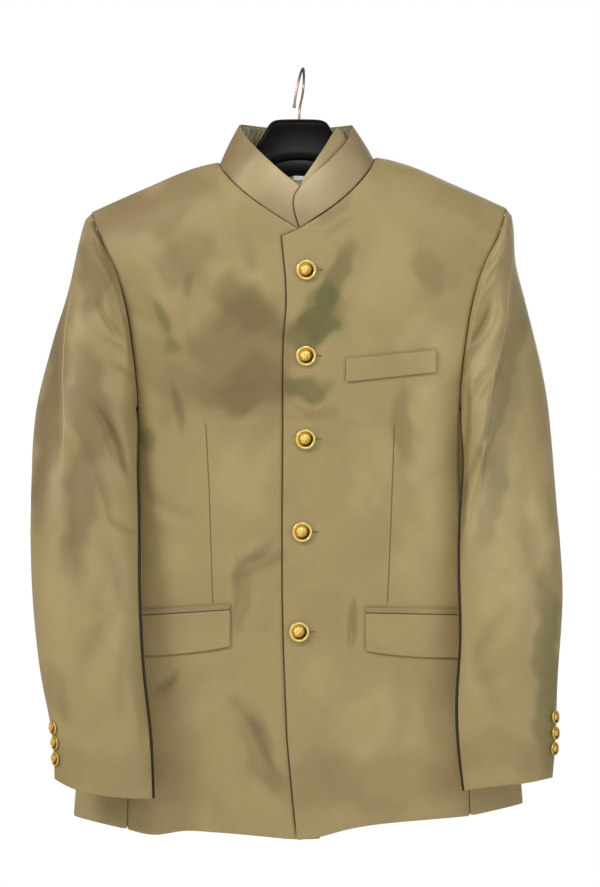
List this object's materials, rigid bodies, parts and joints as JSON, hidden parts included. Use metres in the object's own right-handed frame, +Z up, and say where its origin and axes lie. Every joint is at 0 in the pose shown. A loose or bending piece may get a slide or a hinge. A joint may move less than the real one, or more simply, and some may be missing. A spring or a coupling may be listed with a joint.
{
  "type": "bandhgala jacket on a hanger",
  "caption": "Khaki bandhgala jacket with a lapped stand collar, gold metal buttons, a breast welt and flap pockets, hung on a black moulded hanger with a wire hook.",
  "frame": {"origin": "inside top of the hanger's hook, where a rail carries it", "axes": "+Z up, the jacket's front faces -Y, +X is the wearer's left"},
  "size_m": [0.5874, 0.1677, 0.8557],
  "materials": {
    "suiting": "matte suiting with a soft sheen",
    "suiting_shaded": "matte suiting with a soft sheen",
    "brocade_lining": "satin brocade",
    "label_tape": "woven tape",
    "moulded_black": "moulded, slightly glossy",
    "hook_wire": "coppery bright wire",
    "gold_buttons": "polished gold colour"
  },
  "bodies": {
    "root": {"front_left": "suiting", "side_left": "suiting", "back_left": "suiting", "top_sleeve_left": "suiting", "under_sleeve_left": "suiting", "flap_left": "suiting", "jet_left": "suiting_shaded", "front_right": "suiting", "side_right": "suiting", "back_right": "suiting", "top_sleeve_right": "suiting", "under_sleeve_right": "suiting", "flap_right": "suiting", "jet_right": "suiting_shaded", "collar": "suiting", "collar_inner_band": "suiting_shaded", "neck_lining": "brocade_lining", "welt_breast": "suiting", "label": "label_tape", "hanger_body": "moulded_black", "hanger_hook": "hook_wire", "button_front_1": "gold_buttons", "button_front_2": "gold_buttons", "button_front_3": "gold_buttons", "button_front_4": "gold_buttons", "button_front_5": "gold_buttons", "button_cuff_left_1": "gold_buttons", "button_cuff_left_2": "gold_buttons", "button_cuff_left_3": "gold_buttons", "button_cuff_right_1": "gold_buttons", "button_cuff_right_2": "gold_buttons", "button_cuff_right_3": "gold_buttons"}
  },
  "joints": []
}
